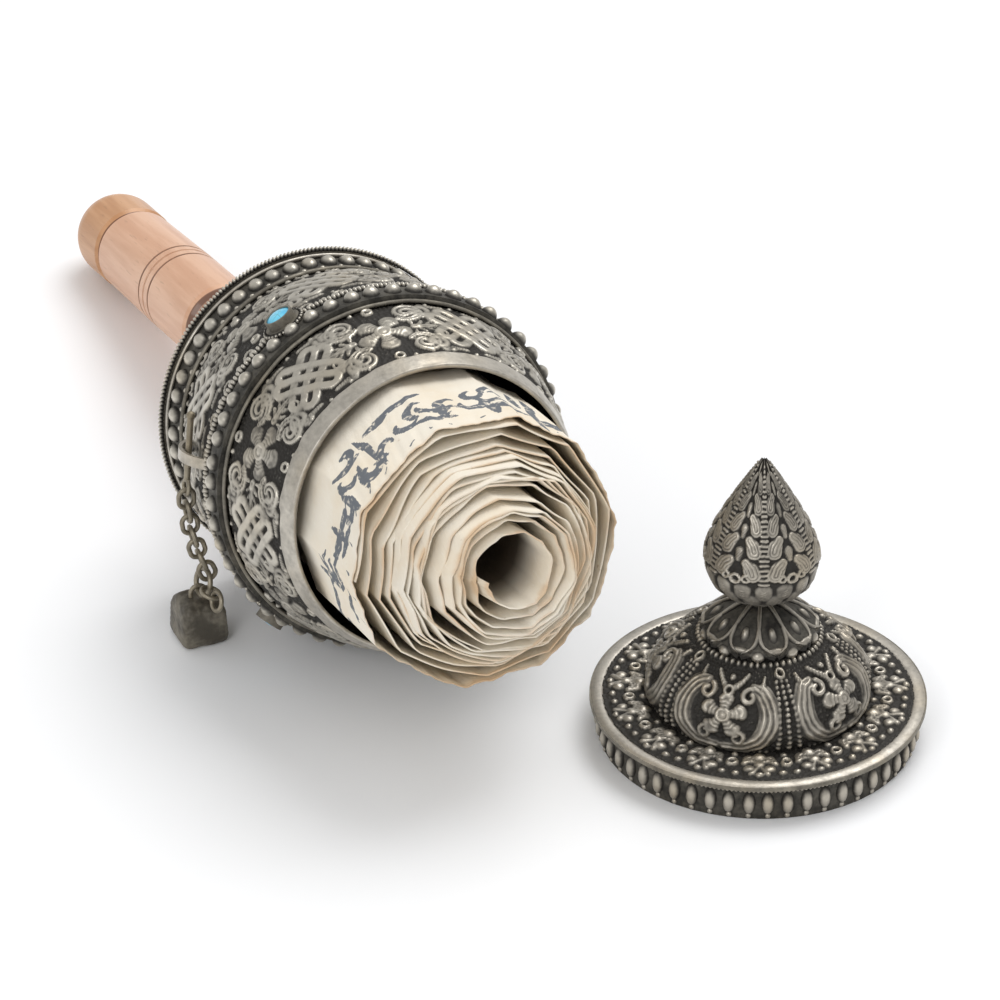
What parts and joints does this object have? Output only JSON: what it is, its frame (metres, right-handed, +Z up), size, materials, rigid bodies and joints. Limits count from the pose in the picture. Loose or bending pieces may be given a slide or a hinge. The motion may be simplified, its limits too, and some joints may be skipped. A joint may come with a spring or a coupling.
{
  "type": "hand prayer wheel",
  "caption": "Hand-held prayer wheel opened on a table: barrel drum on a wooden handle, paper scroll drawn out, domed lid with bud finial, chain and weight.",
  "frame": {"origin": "under the middle of the whole opened set, on the table", "axes": "+X along the wheel's axis over the table, from the pommel towards the mouth; +Z up; +Y towards the standing lid's side"},
  "size_m": [0.3164, 0.155, 0.0939],
  "materials": {
    "patina_silver": "satin",
    "worn_silver": "satin",
    "chain_metal": "satin",
    "weight_metal": "matte",
    "iron": "satin",
    "brass": "satin",
    "copper": "satin",
    "grip_wood": "satin",
    "pommel_wood": "satin",
    "bone": "satin",
    "turquoise": "polished",
    "paper": "matte"
  },
  "bodies": {
    "scroll": {"paper_scroll": "paper"},
    "drum": {"base_plate": "patina_silver", "base_skirt": "patina_silver", "base_boss": "copper", "base_bush": "brass", "base_rim_wire": "patina_silver", "base_rim_band": "worn_silver", "drum_wall_rear": "patina_silver", "drum_wall_front": "patina_silver", "waist_wire": "patina_silver", "waist_bead_band": "patina_silver", "waist_line_wire": "worn_silver", "lip_band": "worn_silver", "stone_bezels": "worn_silver", "turquoise_stones": "turquoise", "chain_lug": "worn_silver"},
    "handle": {"handle_grip": "grip_wood", "handle_pommel": "pommel_wood", "neck_sleeve": "copper", "neck_collar": "brass", "bone_bearing": "bone", "thrust_washer": "brass", "spindle": "iron", "spindle_collar": "brass"},
    "lid": {"lid_plate": "patina_silver", "lid_skirt": "patina_silver", "lid_rim_wire": "patina_silver", "lid_dome": "patina_silver", "spindle_socket": "brass", "lotus_collar": "patina_silver", "finial_neck": "patina_silver", "finial_bud": "patina_silver", "finial_stem": "brass"},
    "chain_pin": {"chain_pin": "chain_metal"},
    "chain_upper": {"chain_link_1": "chain_metal", "chain_link_2": "chain_metal", "chain_link_3": "chain_metal"},
    "chain_middle": {"chain_link_4": "chain_metal", "chain_link_5": "chain_metal", "chain_link_6": "chain_metal"},
    "chain_lower": {"chain_link_7": "chain_metal"},
    "weight": {"chain_weight": "weight_metal", "weight_eye": "chain_metal", "weight_ring": "chain_metal", "spare_rings": "chain_metal"}
  },
  "joints": [
    {"name": "drum_slide", "type": "slide", "parent": "scroll", "child": "drum", "axis": [0.9817, 0, 0.1902], "range_m": [0, 0.037]},
    {"name": "handle_spin", "type": "hinge", "parent": "drum", "child": "handle", "pos_m": [0.00008, -0.02933, 0.03986], "axis": [0.9817, 0, 0.1902], "continuous": true},
    {"name": "lid_lift", "type": "slide", "parent": "scroll", "child": "lid", "axis": [0, 0.5, 0.866], "range_m": [0, 0.04]},
    {"name": "pin_swing", "type": "hinge", "parent": "drum", "child": "chain_pin", "pos_m": [0.03116, -0.07328, 0.05297], "axis": [0.9817, 0, 0.1902], "range_deg": [-8, 0]},
    {"name": "chain_upper_swing", "type": "hinge", "parent": "chain_pin", "child": "chain_upper", "pos_m": [0.033, -0.07481, 0.04347], "axis": [1, 0, 0], "range_deg": [-30, 0]},
    {"name": "chain_middle_swing", "type": "hinge", "parent": "chain_upper", "child": "chain_middle", "pos_m": [0.03245, -0.07358, 0.03259], "axis": [0, 1, 0], "range_deg": [-14, 14]},
    {"name": "chain_lower_swing", "type": "hinge", "parent": "chain_middle", "child": "chain_lower", "pos_m": [0.0319, -0.07037, 0.02156], "axis": [1, 0, 0], "range_deg": [-25, 0]},
    {"name": "weight_swing", "type": "hinge", "parent": "chain_lower", "child": "weight", "pos_m": [0.03173, -0.06891, 0.01801], "axis": [0, 1, 0], "range_deg": [-10, 14]}
  ]
}
